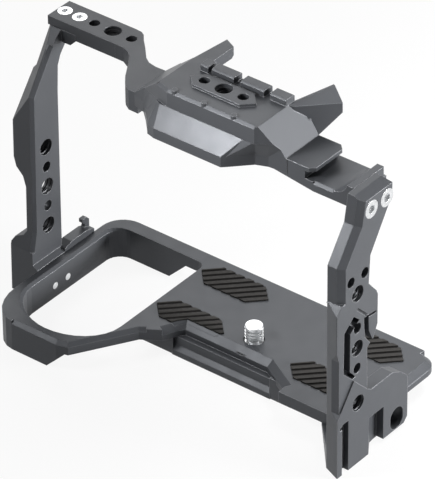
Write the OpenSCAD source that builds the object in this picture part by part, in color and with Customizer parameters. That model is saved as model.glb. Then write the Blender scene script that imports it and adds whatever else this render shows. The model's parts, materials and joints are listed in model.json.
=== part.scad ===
// Camera cage for a full-frame mirrorless camera, with a captive camera screw.
// Millimetres. The origin is on the camera screw's axis, in the top plane of the base plate.
// X runs from the grip side to the ports side, Y from the lens side to the screen, Z is up.

/* [Camera space] */
// Clear width between the two uprights
inner_w = 138.1; // [134:0.1:142]
// From the camera screw's axis to the grip-side upright
grip_reach = 85.1; // [83:0.1:88]
// Top of the bars above the base plate
frame_h = 91.7; // [88:0.1:98]
// Lowest face of the feet below the base plate's top
foot_h = 12; // [11.8:0.1:13]

/* [Base plate] */
// Thickness of the base plate
plate_t = 4.5; // [4:0.1:5]
// From the camera screw to the back edge
plate_back = 29.7; // [28:0.1:32]
// From the camera screw to the front edge
plate_front = 18.5; // [17.5:0.1:19.5]
// Radius of the free corner at the back
plate_corner_r = 6; // [3:0.5:8]
// Chamfer of the lens recess and of the ports-side edge
plate_bevel = 2.3; // [1:0.1:3]
// From the camera screw to the recess's edge
recess_reach = 7.6; // [7:0.1:9]

/* [Grip loop] */
// Reach of the loop in front of the camera screw
loop_front = 42.1; // [40:0.1:46]
// Width of the strip round the front of the loop
loop_strip_w = 4.8; // [4:0.1:6]
// Thickness of the loop's side wall
loop_wall_t = 3.5; // [3:0.1:4.5]
// From the camera screw to the loop's opening
loop_open_reach = 40; // [38:0.1:42]
// Thickness of the loop's back wall
loop_back_t = 5.6; // [4:0.1:7]
// Radius of the loop's outer corner at the back
loop_corner_r = 9; // [6:0.5:12]
// Chamfer of the loop's front edge
loop_bevel = 1.4; // [0.5:0.1:2]

/* [Tripod foot] */
// Width of the dovetail foot across its flanks
foot_w = 38; // [37.5:0.1:38.5]
// Length of the dovetail foot along X
foot_l = 42; // [38:0.5:44]
// Height of the foot's straight lower edge
foot_edge_h = 2.2; // [1.5:0.1:2.5]
// How far the flanks lean in above that edge
foot_flank = 1.5; // [1:0.1:2]
// How far the pads stand out below the foot
foot_pad_out = 0.4; // [0.2:0.1:0.6]

/* [Camera screw] */
// Outer diameter of the camera screw
stud_d = 6.35; // [6:0.05:6.5]
// Height of the screw above the base plate
stud_out = 5.9; // [5:0.1:6.4]
// Diameter of the screw's head
stud_head_d = 14; // [12:0.1:14.4]
// Thickness of the screw's head
stud_head_t = 2.6; // [2:0.1:3]
// Thickness of the slip washer over the head
washer_t = 0.6; // [0.4:0.1:0.8]
// Thickness of the ring that keeps the screw in
ring_t = 0.9; // [0.7:0.1:1.2]

/* [Uprights] */
// Thickness of the grip-side upright under the top bar
grip_arm_t = 5.7; // [4.5:0.1:6]
// Width of the grip-side upright, lens side to screen side
grip_arm_w = 13.7; // [13:0.1:15]
// Thickness of the ports-side upright
ports_arm_t = 5.9; // [5.6:0.1:6.5]
// Thickness of the side plate
side_plate_t = 4.2; // [4:0.1:4.6]
// Width of the side plate between its clamping edges
side_plate_w = 39.1; // [38:0.1:40]
// Front chamfer of the ports-side upright
ports_bevel = 2.1; // [1:0.1:2.5]

/* [Top plate] */
// Thickness of the grip-side bar
left_bar_t = 5.7; // [5.4:0.1:6.5]
// Width of the grip-side bar
left_bar_w = 11.4; // [10:0.1:13]
// Thickness of the ports-side bar
right_bar_t = 3.7; // [3:0.1:4.5]
// Width of the ports-side bar
right_bar_w = 17.4; // [16:0.1:18]
// Height of the accessory seat above the bars
seat_rise = 11.9; // [10:0.1:13]
// Width of the seat along X
seat_w = 41.9; // [40:0.1:44]
// Depth of the seat, lens side to screen side
seat_d = 20.3; // [19:0.1:22]
// Reach of the two prongs behind the seat
prong_reach = 15.5; // [12:0.1:17]

/* [Holes and screws] */
// Bore of the 1/4-20 threaded holes
thread_bore_d = 6.1; // [5.9:0.05:6.35]
// Bore of the locating holes beside them
locator_d = 3.9; // [3:0.1:4.2]
// Diameter of the joining screws
screw_d = 2.5; // [2:0.1:2.8]
// Head diameter of the screws in the grip-side bar
bar_head_d = 5.2; // [4.5:0.1:5.4]
// Head diameter of the screws in the ports-side upright
side_head_d = 6.5; // [5.5:0.1:6.6]

/* [Rubber pads] */
// Length of a camera pad
pad_l = 29; // [26:0.5:30]
// Width of a camera pad
pad_w = 11.4; // [10:0.1:12]
// Height of a camera pad above the base plate
pad_out = 0.5; // [0.3:0.1:0.8]
// Depth of a camera pad's recess
pad_in = 0.8; // [0.5:0.1:1.2]
// Number of ribs across a camera pad
pad_ribs = 10; // [6:1:12]

/* [Hidden] */

$fn = 48;

// Clearances, and the overrun of every cut
fit_gap = 0.05;
slip_gap = 0.1;
over = 1;
far = 80;

// Faces that the pieces share
grip_x = -grip_reach;
ports_x = inner_w - grip_reach;
ports_out_x = ports_x + ports_arm_t;
plate_rise = 0.6;
plate_out_x = ports_out_x + plate_rise;
plate_in_x = plate_out_x - side_plate_t - plate_rise;
bar_end_x = grip_x - grip_arm_t;

// Grip loop: its side wall stands a step inside the grip-side upright's face
loop_step = 2.1;
loop_x = grip_x + loop_step;
loop_open_x = loop_x + loop_wall_t;
loop_top_bevel = 1;
loop_nose_rx = 11.5;
loop_nose_ry = 16.1;
loop_flat_reach = 52;
loop_flat_l = 19.5;
loop_turn_reach = 47.5;
loop_turn_drop = 1.1;
loop_deep_reach = 56.3;
open_corner_r = 3;
open_nose_ry = 15.3;
// Where the loop's strip runs back into the base plate
heel_x = 34.3;
heel_y = 19.3;
heel_in_x = 32.2;
heel_in_y = 17.9;

// Lens recess in the base plate's front edge
recess_step_x = 27.6;
recess_step_y = 15;
recess_left_x = 24.7;
recess_left_y = 9.2;
recess_left_top_x = 23.4;
recess_right_top_x = 11.5;
recess_right_x = 24.7;

// Tripod foot, off the camera screw's axis towards the grip
foot_mid_x = 5.5;
foot_ahead = 3.8;
foot_z = foot_pad_out - foot_h;
foot_x0 = -foot_mid_x - foot_l / 2;
foot_x1 = foot_x0 + foot_l;
foot_y0 = -recess_reach - foot_ahead;
foot_y1 = foot_y0 + foot_w;
foot_knee_z = foot_z + foot_edge_h;

// Camera screw, its pocket in the foot, and what keeps it there
stud_hole_d = 7.2;
head_play = 0.5;
pocket_d = stud_head_d + 2 * head_play;
web_t = 2;
washer_z = -web_t - washer_t - fit_gap;
head_z = washer_z - slip_gap - stud_head_t;
ring_lift = 0.5;
ring_z = foot_z + ring_lift;
ring_seat = 0.6;
coin_w = 1.6;
coin_h = 1.2;
stud_point = 0.6;

// Rubber pads: places of their centres, and their outline in shares of length and width
pad_left_x = 24.3;
pad_right_x = 33;
pad_back_y = 20.4;
pad_front_y = 4;
pad_hex_shares = [[-0.5, 0], [-0.31, -0.5], [0.31, -0.5], [0.5, 0], [0.31, 0.5], [-0.31, 0.5]];
pad_rib_share = 0.55;
pad_rib_turn = 45;
foot_pad_x = 6.5;
foot_pad_mid_x = 0.8;
foot_pad_l = 7.3;
foot_pad_w = 2.8;
foot_pad_in = 0.8;
foot_pad_edge = 2;

// Grip-side upright: side profile in shares of its width and of the cage's height
grip_mid_y = 5.55;
grip_front_shares = [[-0.65, 0.07], [-0.53, 0.15], [-0.5, 0.39], [-0.47, 0.747], [0.255, 0.904],
    [0.345, 0.917]];
grip_back_shares = [[0.9, 0.902], [0.655, 0.858], [0.545, 0.819], [0.51, 0.706], [0.49, 0.07]];
// Its outer face, in shares of the foot's thickness and of the cage's height
grip_foot_t = 9.7;
grip_out_shares = [[0.515, 0.83], [0.71, 0.807], [0.907, 0.62], [0.907, 0.46], [0.8, 0.42], [0.5, 0.388],
    [0.371, 0.345], [0.371, 0.15], [0.5, 0.128], [0.85, 0.11], [1, 0.085]];
grip_bevel_turn = 223.5;
grip_bevel_tilt = 24.8;
grip_bevel_x = 1.4;
grip_bevel_y = 12.2;
grip_bevel_z = 68.5;
grip_edge_bevel = 1.2;
grip_foot_front = 14.7;
grip_foot_end = 1.2;
tail_back = 16.2;
tail_t = 1.9;
tail_depth = 4;
grip_ledge_h = 1.5;
tail_front = 4;
tail_rise = 2.5;
hook_mid_y = 14.2;
hook_w = 3.6;
hook_t = 1.6;
hook_h = 6;
hook_lip = 1.4;
bar_back_y = 15.5;
lap_t = 3.5;
flange_t = 4.8;
flange_l = 6.1;
flange_round = 2.2;

// Holes of the grip-side upright: from the base plate up, large and small by turns
grip_hole_z = 13.8;
hole_step = 8;

// Grip-side bar: its screws on both sides of the upright's inner face, then its holes
bar_screw_out = 2.9;
bar_screw_in = 3.5;
bar_hole_in = 9.9;
bar_hole_y = 9.9;
bar_screw_l = 7.4;
countersink_h = 1.6;

// The jog between the grip-side bar and the accessory seat: plan in shares of its length and depth
jog_end_x = 37.6;
jog_l = 20.5;
jog_d = 18.6;
jog_back = 3.7;
jog_lap = 3.5;
jog_front_shares = [[-0.171, 0.02], [0, 0.02], [0.155, -0.05], [0.26, -0.15], [0.385, -0.36], [0.565, -0.68], [0.67, -0.83],
    [0.73, -0.9], [0.85, -0.985], [1.05, -0.99]];
jog_back_shares = [[1.05, -0.11], [0.79, -0.12], [0.62, -0.085], [0.5, 0.005], [0.28, 0.27], [0.13, 0.435],
    [0.03, 0.57], [-0.05, 0.622], [-0.171, 0.634]];
jog_deep_t = 8;

// Accessory seat
seat_left = 24;
seat_front = 21.3;
seat_side_run = 13.9;
seat_z = frame_h + seat_rise;
seat_x0 = -seat_left;
seat_x1 = seat_x0 + seat_w;
seat_y0 = -seat_front;
seat_y1 = seat_y0 + seat_d;
seat_corner = 5.2;
seat_corner_d = 1.6;
seat_edge = 0.9;
island_x = 3.64;
island_y = 10.85;
island_h = 1;
island_l = 27.2;
island_w = 8.4;
island_shares = [[-0.5, -0.05], [-0.355, -0.47], [0.36, -0.5], [0.505, -0.02], [0.35, 0.5], [-0.35, 0.47]];
seat_hole_y = 10.57;
lip_h = 2.5;
lip_d = 4.5;
lip_edge = 0.5;
lip_starts_shares = [0.155, 0.27, 0.555, 0.842];
lip_ends_shares = [0.235, 0.487, 0.785, 1];
tab_r = 1.1;
tab_h = 0.6;
tab_shares = [0.185, 0.475, 0.765];

// Nose under the seat: plan of its lower rim in shares of its reach ahead of the screw
nose_reach = 26.1;
nose_top_rise = 5.3;
nose_knee_drop = 1.3;
nose_drop = 5.2;
nose_shares = [[-1.452, -0.563], [-1.268, -0.617], [-1.138, -0.736], [-0.966, -0.916], [-0.923, -0.966],
    [-0.797, -1], [0.268, -1], [0.318, -0.954], [0.571, -0.693], [0.732, -0.628], [1.004, -0.605]];
nose_top_shares = [[-1.452, -0.563], [-1.268, -0.582], [-1.138, -0.636], [-0.943, -0.751], [-0.904, -0.789],
    [-0.843, -0.816], [0.345, -0.816], [0.479, -0.805], [0.632, -0.774], [0.785, -0.713], [1.004, -0.605]];
nose_back = 1.7;
hump_y0 = 12;
hump_top = 2.5;
hump_side = 4;

// Prongs behind the seat
left_prong_t = 10.6;
right_prong_t = 13.6;
left_prong_w = 6.4;
left_prong_tip = 4.5;
left_prong_tip_t = 1.2;
right_prong_in = 4.1;
right_prong_out = 10.3;
right_prong_back = 3.3;
right_prong_root = 1.4;
right_prong_start = 2.2;
right_prong_land = 0.8;
right_prong_turn = -15.4;
right_prong_tilt = 62.2;
prong_tip_t = 3.6;

// Ramp and shelf on the ports side of the seat
ramp_l = 7.8;
shelf_l = 10.9;
shelf_t = 1.5;
shelf_rise = 0.3;
shelf_edge = 1.8;
shelf_solid = 3.3;

// Ports-side bar
right_bar_drop = 4.2;
right_bar_front = 15.6;
right_bar_edge = 0.9;
rise_r = 6;
rise_l = 5.7;
tongue_t = 2.7;
tongue_drop = 10.7;
ridge_back = 0.4;

// Ports-side upright: side profile in shares of the side plate's width and of the cage's height
ports_front_y = 31.9;
ports_wall_share = 0.0645;
ports_front_shares = [[0.033, 0.11], [0.033, 0.372], [0.003, 0.414], [0.003, 0.5725], [ports_wall_share, 0.606],
    [ports_wall_share, 0.758], [0.286, 0.891], [0.325, 0.976], [0.335, 1]];
ports_lean = 2.5;
ports_edge_y = 29.4;
ports_wide_share = 0.6;
ports_back_shares = [[0.705, 1], [0.742, 0.98], [0.742, 0.955], [0.725, 0.917], [0.45, 0.738], [0.432, 0.6205], [0.5, 0.585],
    [0.54, 0.566], [0.56, 0.545], [0.56, 0.418], [0.5345, 0.396], [0.506, 0.3686], [0.419, 0.347],
    [0.43, 0.11]];
ports_top_bevel = 1.9;
ports_top_run = 3.4;
side_screw_drop = 6.4;
side_screw_front = 13.9;
side_screw_back = 5.7;
side_screw_l = 8.3;

// Holes of the ports-side upright
ports_hole_y = 20.9;
ports_hole_top = 56.1;
ports_hole_mid = 34.4;
ports_hole_low = 12.6;
pair_rise = 6.3;
pair_gap = 7.4;

// Quick-release seat on the ports-side upright, in shares of the plate's width and the cage's height
groove_h = 2.5;
groove_left_shares = [[0.309, 0.494], [0.184, 0.459], [0.182, 0.2955], [0.263, 0.255], [0.217, 0.255],
    [0.095, 0.305], [0.1, 0.48], [0.23, 0.5245]];
groove_right_shares = [[0.371, 0.486], [0.435, 0.481], [0.442, 0.414], [0.494, 0.363], [0.463, 0.3555],
    [0.386, 0.398], [0.373, 0.459]];
scribe_h = 1;
scribe_shares = [[0.284, 0.55], [0.435, 0.486], [0.54, 0.479], [0.54, 0.469], [0.427, 0.4755], [0.274, 0.54]];

// Side plate for an upright tripod mounting
side_front_y = 32.65;
side_roof_shares = [[0, 0.1145], [0.243, 0.2475], [0.43, 0.167], [0.483, 0.153],
    [0.7775, 0.153], [0.9, 0.1265], [0.99, 0.0905], [1, 0.081]];
side_toe_lift = 1.4;
side_toe_round = 1.9;
side_heel_y = 14;
roof_groove_w = 1.3;
roof_groove_h = 0.9;
pocket_top_z = 2.8;
pocket_y0 = 15;
pocket_knee_y = 10.5;
pocket_y1 = 6.85;
pocket_h = 3;
slot_y = 0.45;
slot_z = 6.2;
slot_r = 3.5;
slot_run = 1.5;
rail_y0 = 29.45;
rail_w = 3.4;
rail_top_z = 8.5;
rail_h = 2.2;
rail_notch = 1.2;
rail_notch_z = 6.6;

// Flange that the base plate is screwed to from below
flange_in = 12;
flange_lip = 1;
flange_y0 = 18;
flange_w = 13.5;
flange_h = 3.9;
flange_screw_x = 5.6;
flange_screw_gap = 7;
flange_head_d = 4.5;
flange_head_h = 1.6;
flange_bite = 3;

// Screws through the loop's wall into the grip-side upright
loop_screw_z = 7.3;
loop_screw_front = 9.4;
loop_screw_back = 2.6;
loop_head_d = 4.6;
loop_head_h = 2.4;
loop_head_sink = 0.4;
hex_share = 0.5;
hex_h_share = 0.6;

function scaled(shares, w, h, x = 0, y = 0) = [for (s = shares) [x + s[0] * w, y + s[1] * h]];
function oval(x, y, rx, ry, from, to, n) =
    [for (i = [0:n]) let (a = from + (to - from) * i / n) [x + rx * cos(a), y + ry * sin(a)]];
// A corner of a path pushed to the left of the way it runs, square to both its edges
function pushed(p, i, d) =
    let (u = p[max(i, 1)] - p[max(i, 1) - 1], v = p[min(i + 1, len(p) - 1)] - p[min(i, len(p) - 2)],
        a = u / norm(u), b = v / norm(v), s = (a + b) / (1 + a * b))
    p[i] + d * [-s[1], s[0]];

// Derived places and outlines
side_back_y = side_plate_w - side_front_y;
plate_lip = 0.7;
plate_edge_x = plate_in_x + plate_lip;
plate_lip_y = side_back_y + plate_lip;
lap_z = frame_h - lap_t;
bar_front_y = bar_back_y - left_bar_w;
bar_screw_xs = [grip_x - bar_screw_out, grip_x + bar_screw_in];
side_screw_ys = [-side_screw_front, -side_screw_back];
side_sink_h = 2;
loop_head_x = grip_x - grip_foot_t + loop_head_sink;
flange_head_z = -plate_t - fit_gap - flange_h + loop_head_sink;
ring_hole_share = 0.84;
ring_mouth = 3;
foot_pad_front_y = foot_y0 + foot_pad_edge;
foot_pad_back_y = foot_y1 - foot_pad_edge;
jog_x0 = -jog_end_x - jog_l;
jog_slope_share = 0.6;
right_bar_z = frame_h - right_bar_drop;
rise_w = rise_l + tongue_t;
shelf_x = seat_x1 + ramp_l + shelf_l;
shelf_solid_x = shelf_x - shelf_solid;
prong_y = seat_y1 + prong_reach;
prong_foot_y = seat_y1 + prong_reach / 3;
left_prong_back = 2.2;
hump_front = 14;

loop_front_run = [[-loop_flat_reach - loop_flat_l, -loop_front], [-loop_flat_reach, -loop_front],
    [-loop_turn_reach, loop_turn_drop - loop_front], [-heel_x, -heel_y], [-heel_in_x, -heel_in_y]];
recess_run = [[-recess_step_x, -recess_step_y], [-recess_left_x, -recess_left_y],
    [-recess_left_top_x, -recess_reach], [recess_right_top_x, -recess_reach],
    [recess_right_x, -recess_step_y]];
right_run = concat([[plate_edge_x, plate_lip_y]],
    oval(plate_edge_x - plate_corner_r, plate_back - plate_corner_r, plate_corner_r, plate_corner_r, 0, 90, 6));
open_back_y = plate_back - loop_back_t;
open_mid_x = (loop_open_x - loop_open_reach) / 2;
open_half = -loop_open_reach - open_mid_x;
open_left_r = 2 * open_corner_r;
function loop_open_points(grow) = concat(
    oval(open_mid_x - grow / 2, loop_strip_w - loop_front + open_nose_ry, open_half + grow / 2,
        open_nose_ry + grow, 180, 360, 16),
    oval(-loop_open_reach - open_corner_r, open_back_y - open_corner_r, open_corner_r, open_corner_r, 0, 90, 4),
    oval(loop_open_x + open_left_r, open_back_y - open_left_r, open_left_r + grow, open_left_r, 90, 180, 6));
grip_front_points = scaled(grip_front_shares, grip_arm_w, frame_h, -grip_mid_y);
grip_edge_run = [for (i = [len(grip_front_points) - 1:-1:0]) grip_front_points[i]];
ports_front_points = scaled(ports_front_shares, side_plate_w, frame_h, -ports_front_y);
ports_edge_run = [for (i = [len(ports_front_points) - 1:-1:4]) ports_front_points[i]];
jog_front_run = scaled(jog_front_shares, jog_l, jog_d, jog_x0, jog_back);
nose_run = scaled(nose_shares, nose_reach, nose_reach);
nose_top_run = scaled(nose_top_shares, nose_reach, nose_reach);
nose_rear = [[seat_x1 + ramp_l, nose_back], [nose_run[0][0], nose_back]];
nose_bottom_z = frame_h - nose_drop;
nose_knee_z = frame_h - nose_knee_drop;
seat_profile = [[seat_x0 - seat_side_run, nose_bottom_z], [seat_x0 - seat_side_run, frame_h], [seat_x0, seat_z],
    [seat_x1, seat_z], [seat_x1 + ramp_l, frame_h + shelf_rise], [shelf_solid_x, frame_h + shelf_rise],
    [shelf_solid_x, nose_bottom_z]];
side_screw_z = frame_h - side_screw_drop;
seat_front_run = [[seat_x0 - seat_side_run, nose_run[0][1]], [seat_x0, seat_y0 + seat_corner_d],
    [seat_x0 + seat_corner, seat_y0], [seat_x1 - seat_edge, seat_y0], [seat_x1, seat_y0 + seat_edge],
    [seat_x1 + ramp_l, nose_run[10][1]], [shelf_solid_x, nose_run[10][1]]];

module slab(z0, z1) {
    translate([0, 0, z0])
        linear_extrude(z1 - z0) children();
}

// Stands a Y-Z profile up along X
module along_x(x0, x1) {
    translate([x0, 0, 0])
        rotate([90, 0, 90])
            linear_extrude(x1 - x0) children();
}

// Stands an X-Z profile up along Y
module along_y(y0, y1) {
    translate([0, y1, 0])
        rotate([90, 0, 0])
            linear_extrude(y1 - y0) children();
}

// Waste of a chamfer along a run of edges with the material to its left: up is 1 for a top face, -1 for a bottom one
module run_waste(points, z, c, up = 1) {
    n = len(points);
    profile = [[c + fit_gap, up * fit_gap], [-fit_gap, up * fit_gap], [-fit_gap, -up * (c + fit_gap)]];
    sides = [for (i = [0:n - 2]) for (j = [0:2]) let (k = (j + 1) % 3)
        [3 * i + j, 3 * i + 3 + j, 3 * i + 3 + k, 3 * i + k]];
    faces = concat([[0, 1, 2]], sides, [[3 * n - 1, 3 * n - 2, 3 * n - 3]]);
    polyhedron(
        points = [for (i = [0:n - 1]) for (q = profile) let (e = pushed(points, i, q[0])) [e[0], e[1], z + q[1]]],
        faces = up > 0 ? faces : [for (f = faces) [for (i = [len(f) - 1:-1:0]) f[i]]]);
}

// A solid between two outlines with as many points
module loft(low, high, z0, z1) {
    n = len(low);
    polyhedron(
        points = concat([for (p = low) [p[0], p[1], z0]], [for (p = high) [p[0], p[1], z1]]),
        faces = concat([[for (i = [0:n - 1]) i]], [[for (i = [n - 1:-1:0]) n + i]],
            [for (i = [0:n - 1]) [i, n + i, n + (i + 1) % n]],
            [for (i = [0:n - 1]) [i, n + (i + 1) % n, (i + 1) % n]]));
}

// A bore with its mouth at a point and its axis along X, Y or Z
module bore_x(x0, x1, y, z, d) {
    translate([x0, y, z])
        rotate([0, 90, 0])
            cylinder(h = x1 - x0, d = d);
}

module bore_z(x, y, z0, z1, d) {
    translate([x, y, z0])
        cylinder(h = z1 - z0, d = d);
}

// Base plate with the grip loop and the dovetail foot

module base_outline() {
    polygon(concat(
        oval(loop_x + loop_corner_r, plate_back - loop_corner_r, loop_corner_r, loop_corner_r, 90, 180, 8),
        oval(loop_x + loop_nose_rx, loop_nose_ry - loop_front, loop_nose_rx, loop_nose_ry, 180, 270, 6),
        [for (i = [1:len(loop_front_run) - 1]) loop_front_run[i]],
        recess_run,
        [[recess_right_x, -plate_front], [plate_in_x - fit_gap, -plate_front],
            [plate_in_x - fit_gap, plate_lip_y], [plate_edge_x, plate_lip_y]],
        oval(plate_edge_x - plate_corner_r, plate_back - plate_corner_r, plate_corner_r, plate_corner_r, 0, 90, 6)
    ));
}

module loop_opening() {
    polygon(loop_open_points(0));
}

module foot_profile() {
    polygon([[foot_y0, foot_z], [foot_y1, foot_z], [foot_y1, foot_knee_z],
        [foot_y1 - foot_flank, foot_knee_z + foot_flank], [foot_y1 - foot_flank, -plate_t],
        [foot_y0 + foot_flank, -plate_t], [foot_y0 + foot_flank, foot_knee_z + foot_flank],
        [foot_y0, foot_knee_z]]);
}

module base_blank() {
    slab(-plate_t, 0) base_outline();
    intersection() {
        slab(-foot_h, 0) base_outline();
        along_y(-far, far)
            polygon([[loop_x - over, 0], [loop_x - over, -foot_h], [-loop_deep_reach, -foot_h],
                [-loop_deep_reach + foot_h - plate_t, -plate_t], [-loop_deep_reach + foot_h - plate_t, 0]]);
    }
    along_x(foot_x0, foot_x1) foot_profile();
}

module pad_places() {
    for (side = [-pad_left_x, pad_right_x], row = [pad_back_y, -pad_front_y])
        translate([side, row, 0]) children();
}

module foot_pad_places(rows) {
    for (side = [-1, 1], y = rows)
        translate([side * foot_pad_x - foot_pad_mid_x, y, foot_z]) children();
}

module flange_screw_places() {
    for (step = [0, 1])
        translate([plate_in_x - flange_screw_x, flange_w / 2 - flange_y0 + (step - 0.5) * flange_screw_gap, 0])
            children();
}

module base_plate() {
    color("#4b4e53")
    difference() {
        base_blank();
        slab(-foot_h - over, over) loop_opening();
        run_waste(loop_front_run, 0, loop_bevel);
        run_waste(recess_run, 0, plate_bevel);
        run_waste(right_run, 0, plate_bevel);
        loft(loop_open_points(0), loop_open_points(loop_top_bevel + fit_gap), -loop_top_bevel, fit_gap);
        pad_places()
            slab(-pad_in - fit_gap, over) pad_outline(fit_gap);
        foot_pad_places([foot_pad_front_y, foot_pad_back_y])
            slab(-over, foot_pad_in + fit_gap) square([foot_pad_l + 2 * fit_gap, foot_pad_w + 2 * fit_gap], true);
        bore_z(0, 0, -foot_h, over, stud_hole_d);
        bore_z(0, 0, -foot_h - over, -web_t, pocket_d);
        bore_z(0, 0, ring_z - fit_gap, ring_z + ring_t + fit_gap, pocket_d + 2 * ring_seat);
        for (y = [-loop_screw_front, -loop_screw_back])
            bore_x(loop_x - over, loop_open_x + over, y, -loop_screw_z, screw_d + 2 * fit_gap);
        flange_screw_places()
            bore_z(0, 0, -plate_t - over, -plate_t + flange_bite, screw_d + 2 * fit_gap);
    }
}

// Rubber pads

module pad_outline(grow = 0) {
    polygon(scaled(pad_hex_shares, pad_l + 2 * grow, pad_w + 2 * grow));
}

module camera_pad() {
    pitch = (pad_l + pad_w) / pad_ribs * sqrt(0.5);
    color("#1c1b1a")
    difference() {
        slab(-pad_in, pad_out) pad_outline();
        rotate(pad_rib_turn)
            for (i = [-pad_ribs:pad_ribs])
                translate([-pad_l, i * pitch, 0])
                    cube([2 * pad_l, pitch * (1 - pad_rib_share), pad_out + over]);
    }
}

module pad_back_left() {
    translate([-pad_left_x, pad_back_y, 0]) camera_pad();
}

module pad_front_left() {
    translate([-pad_left_x, -pad_front_y, 0]) camera_pad();
}

module pad_back_right() {
    translate([pad_right_x, pad_back_y, 0]) camera_pad();
}

module pad_front_right() {
    translate([pad_right_x, -pad_front_y, 0]) camera_pad();
}

module foot_pad() {
    color("#1c1b1a")
    along_y(-foot_pad_w / 2, foot_pad_w / 2)
        polygon([[-foot_pad_l / 2, foot_pad_in], [-foot_pad_l / 2, 0],
            [-foot_pad_l / 2 + foot_pad_out, -foot_pad_out], [foot_pad_l / 2 - foot_pad_out, -foot_pad_out],
            [foot_pad_l / 2, 0], [foot_pad_l / 2, foot_pad_in]]);
}

module foot_pads_front() {
    foot_pad_places([foot_pad_front_y]) foot_pad();
}

module foot_pads_back() {
    foot_pad_places([foot_pad_back_y]) foot_pad();
}

// Camera screw and what holds it

module camera_screw() {
    color("#d9dadc")
    difference() {
        union() {
            bore_z(0, 0, head_z, head_z + stud_head_t, stud_head_d);
            bore_z(0, 0, head_z, stud_out - stud_point, stud_d);
            translate([0, 0, stud_out - stud_point])
                cylinder(h = stud_point, d1 = stud_d, d2 = stud_d - 2 * stud_point);
        }
        translate([-stud_head_d, -coin_w / 2, head_z - over])
            cube([2 * stud_head_d, coin_w, coin_h + over]);
    }
}

module slip_washer() {
    color("#c9cacc")
    difference() {
        bore_z(0, 0, washer_z, washer_z + washer_t, stud_head_d);
        bore_z(0, 0, washer_z - over, washer_z + washer_t + over, stud_d + 2 * fit_gap);
    }
}

module retaining_ring() {
    color("#9a9ca0")
    difference() {
        bore_z(0, 0, ring_z, ring_z + ring_t, pocket_d + 2 * ring_seat - 2 * fit_gap);
        bore_z(0, 0, ring_z - over, ring_z + ring_t + over, pocket_d * ring_hole_share);
        translate([-ring_mouth / 2, 0, ring_z - over])
            cube([ring_mouth, pocket_d, ring_t + 2 * over]);
    }
}

// Grip-side upright

module grip_side_profile() {
    polygon(concat(
        [[grip_foot_end, -foot_h], [-grip_foot_front, -foot_h]],
        scaled(grip_front_shares, grip_arm_w, frame_h, -grip_mid_y),
        [[bar_front_y, lap_z], [bar_back_y, lap_z], [bar_back_y, lap_z - flange_t + flange_round],
            [bar_back_y - flange_round, lap_z - flange_t]],
        scaled(grip_back_shares, grip_arm_w, frame_h, -grip_mid_y)
    ));
}

module grip_front_profile() {
    polygon(concat(
        [[loop_x - fit_gap, -foot_h], [loop_x - fit_gap, fit_gap], [grip_x, grip_ledge_h], [grip_x, lap_z],
            [bar_end_x, lap_z]],
        scaled(grip_out_shares, -grip_foot_t, frame_h, grip_x),
        [[grip_x - grip_foot_t, -foot_h]]
    ));
}

module grip_flange() {
    along_y(bar_front_y, bar_back_y)
        polygon([[grip_x - over, lap_z], [grip_x - over, lap_z - flange_t],
            [grip_x + flange_l - flange_round, lap_z - flange_t],
            [grip_x + flange_l, lap_z - flange_t + flange_round], [grip_x + flange_l, lap_z]]);
}

module grip_tail() {
    along_x(grip_x - tail_t, loop_x - fit_gap)
        polygon([[grip_foot_end - over, -tail_depth], [tail_back, -tail_depth], [tail_back, tail_rise / 2],
            [hook_mid_y - hook_w / 2, tail_rise], [tail_front, tail_rise], [grip_foot_end - over, tail_rise / 2]]);
}

module grip_hook() {
    along_x(grip_x - hook_t, grip_x)
        polygon([[hook_mid_y - hook_w / 2, 0], [hook_mid_y + hook_w / 2, 0],
            [hook_mid_y + hook_w / 2, hook_h - hook_lip], [hook_mid_y + hook_w / 2 - hook_lip, hook_h],
            [hook_mid_y - hook_w / 2, hook_h], [hook_mid_y - hook_w / 2, hook_h - hook_lip],
            [hook_mid_y - hook_w / 2 + hook_lip, hook_h - 2 * hook_lip]]);
}

// A half space as a block: its face passes a point, and looks along the turn and the tilt
module big_cut(at, turn, tilt) {
    translate(at)
        rotate([0, -tilt, turn])
            translate([0, -far, -far])
                cube(2 * far);
}

module grip_upright() {
    color("#54575c")
    difference() {
        union() {
            intersection() {
                along_x(grip_x - grip_foot_t, loop_x) grip_side_profile();
                along_y(-far, far) grip_front_profile();
            }
            grip_flange();
            grip_tail();
            grip_hook();
        }
        big_cut([grip_x - grip_bevel_x, -grip_bevel_y, grip_bevel_z], grip_bevel_turn, grip_bevel_tilt);
        translate([grip_x, 0, 0])
            rotate([90, 0, 90])
                run_waste(grip_edge_run, 0, grip_edge_bevel);
        for (i = [0:4])
            bore_x(grip_x - grip_foot_t - over, grip_x + over, -grip_mid_y, grip_hole_z + i * hole_step,
                i % 2 == 0 ? thread_bore_d : locator_d);
        for (x = bar_screw_xs)
            bore_z(x, bar_hole_y, frame_h - bar_screw_l - fit_gap, frame_h, screw_d + 2 * fit_gap);
        for (y = [-loop_screw_front, -loop_screw_back]) {
            bore_x(grip_x - grip_foot_t - over, loop_x + over, y, -loop_screw_z, screw_d + 2 * fit_gap);
            bore_x(grip_x - grip_foot_t - over, loop_head_x + loop_head_h + fit_gap, y, -loop_screw_z,
                loop_head_d + 2 * fit_gap);
        }
    }
}

// Top plate

module left_bar() {
    difference() {
        translate([bar_end_x, bar_front_y, frame_h - left_bar_t])
            cube([jog_x0 - jog_lap - bar_end_x, left_bar_w, left_bar_t]);
        translate([bar_end_x - over, bar_front_y - over, frame_h - left_bar_t - over])
            cube([grip_arm_t + flange_l + fit_gap + over, left_bar_w + 2 * over, left_bar_t - lap_t + fit_gap + over]);
    }
}

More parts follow.
